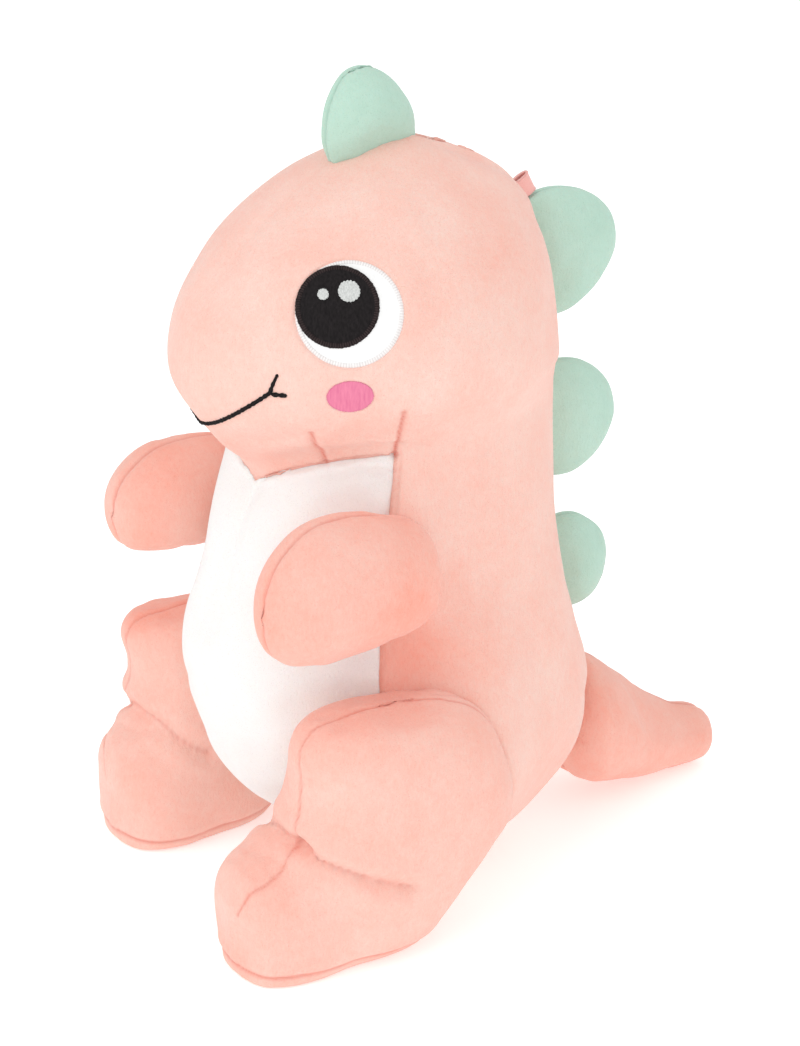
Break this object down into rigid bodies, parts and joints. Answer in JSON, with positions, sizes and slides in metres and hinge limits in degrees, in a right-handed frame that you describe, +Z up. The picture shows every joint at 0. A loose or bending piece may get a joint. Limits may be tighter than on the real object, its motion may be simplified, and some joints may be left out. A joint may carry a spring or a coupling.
{
  "type": "stuffed dinosaur",
  "caption": "Standing stuffed dinosaur of soft pink velour with a white belly, mint back spikes, embroidered round eyes and a small smile.",
  "frame": {"origin": "on the floor under the middle of the object's length, in its plane of symmetry", "axes": "-Y is the way the dinosaur faces, +X is its left side, +Z is up"},
  "size_m": [0.1604, 0.2268, 0.282],
  "materials": {
    "pink_velour": "short-pile pink velour, soft and matt",
    "white_velour": "short-pile white velour, soft and matt",
    "mint_velour": "short-pile mint velour, soft and matt",
    "polyester_fibre": "loose white polyester fibre filling",
    "white_cloth": "smooth white embroidery ground",
    "pale_thread": "pale satin-stitch border thread",
    "black_thread": "black embroidery thread with a slight sheen",
    "rose_thread": "rose embroidery thread",
    "satin_ribbon": "pink satin ribbon"
  },
  "bodies": {
    "torso": {"belly_panel": "white_velour", "body_stuffing": "polyester_fibre", "left_body_panel": "pink_velour", "left_cheek": "rose_thread", "left_eye_border": "pale_thread", "left_eye_white": "white_cloth", "left_large_glint": "white_cloth", "left_mouth_stroke": "black_thread", "left_pupil": "black_thread", "left_pupil_border": "black_thread", "left_small_glint": "white_cloth", "mouth_line": "black_thread", "right_body_panel": "pink_velour", "right_cheek": "rose_thread", "right_eye_border": "pale_thread", "right_eye_white": "white_cloth", "right_large_glint": "white_cloth", "right_mouth_stroke": "black_thread", "right_pupil": "black_thread", "right_pupil_border": "black_thread", "right_small_glint": "white_cloth"},
    "left_arm": {"left_arm_inner_panel": "pink_velour", "left_arm_outer_panel": "pink_velour", "left_arm_stuffing": "polyester_fibre"},
    "right_arm": {"right_arm_inner_panel": "pink_velour", "right_arm_outer_panel": "pink_velour", "right_arm_stuffing": "polyester_fibre"},
    "left_leg": {"left_leg_inner_panel": "pink_velour", "left_leg_outer_panel": "pink_velour", "left_leg_stuffing": "polyester_fibre", "left_sole": "pink_velour"},
    "right_leg": {"right_leg_inner_panel": "pink_velour", "right_leg_outer_panel": "pink_velour", "right_leg_stuffing": "polyester_fibre", "right_sole": "pink_velour"},
    "tail": {"left_tail_panel": "pink_velour", "right_tail_panel": "pink_velour", "tail_stuffing": "polyester_fibre"},
    "crown_spike": {"crown_spike_left_panel": "mint_velour", "crown_spike_right_panel": "mint_velour", "crown_spike_stuffing": "polyester_fibre"},
    "nape_spike": {"nape_spike_left_panel": "mint_velour", "nape_spike_right_panel": "mint_velour", "nape_spike_stuffing": "polyester_fibre"},
    "middle_spike": {"middle_spike_left_panel": "mint_velour", "middle_spike_right_panel": "mint_velour", "middle_spike_stuffing": "polyester_fibre"},
    "lower_spike": {"lower_spike_left_panel": "mint_velour", "lower_spike_right_panel": "mint_velour", "lower_spike_stuffing": "polyester_fibre"},
    "hang_loop": {"hang_loop": "satin_ribbon"}
  },
  "joints": [
    {"name": "left_arm_swing", "type": "hinge", "parent": "torso", "child": "left_arm", "pos_m": [0.054, -0.04161, 0.13151], "axis": [1, 0, 0], "range_deg": [-25, 10], "stiffness_Nm_per_rad": 0.12},
    {"name": "right_arm_swing", "type": "hinge", "parent": "torso", "child": "right_arm", "pos_m": [-0.054, -0.03574, 0.12651], "axis": [1, 0, 0], "range_deg": [-25, 10], "stiffness_Nm_per_rad": 0.12},
    {"name": "left_leg_swing", "type": "hinge", "parent": "torso", "child": "left_leg", "pos_m": [0.06, -0.04187, 0.07], "axis": [1, 0, 0], "range_deg": [-8, 8], "stiffness_Nm_per_rad": 2},
    {"name": "right_leg_swing", "type": "hinge", "parent": "torso", "child": "right_leg", "pos_m": [-0.06, -0.03907, 0.063], "axis": [1, 0, 0], "range_deg": [-8, 8], "stiffness_Nm_per_rad": 2},
    {"name": "tail_wag", "type": "hinge", "parent": "torso", "child": "tail", "pos_m": [0, 0.05193, 0.03348], "axis": [0, 0, 1], "range_deg": [-12, 12], "stiffness_Nm_per_rad": 0.1},
    {"name": "crown_spike_flex", "type": "hinge", "parent": "torso", "child": "crown_spike", "pos_m": [0, -0.03003, 0.25597], "axis": [0, 0.9767, 0.2145], "range_deg": [-15, 15], "stiffness_Nm_per_rad": 0.02},
    {"name": "nape_spike_flex", "type": "hinge", "parent": "torso", "child": "nape_spike", "pos_m": [0, 0.03241, 0.20582], "axis": [0, 0.1819, -0.9833], "range_deg": [-15, 15], "stiffness_Nm_per_rad": 0.02},
    {"name": "middle_spike_flex", "type": "hinge", "parent": "torso", "child": "middle_spike", "pos_m": [0, 0.03627, 0.14709], "axis": [0, 0.0227, -0.9997], "range_deg": [-15, 15], "stiffness_Nm_per_rad": 0.02},
    {"name": "lower_spike_flex", "type": "hinge", "parent": "torso", "child": "lower_spike", "pos_m": [0, 0.04061, 0.09181], "axis": [0, 0.198, -0.9802], "range_deg": [-15, 15], "stiffness_Nm_per_rad": 0.02},
    {"name": "hang_loop_flop", "type": "hinge", "parent": "torso", "child": "hang_loop", "pos_m": [0, 0.02487, 0.22953], "axis": [0, 0.4786, -0.878], "range_deg": [-25, 25], "stiffness_Nm_per_rad": 0.00002}
  ]
}
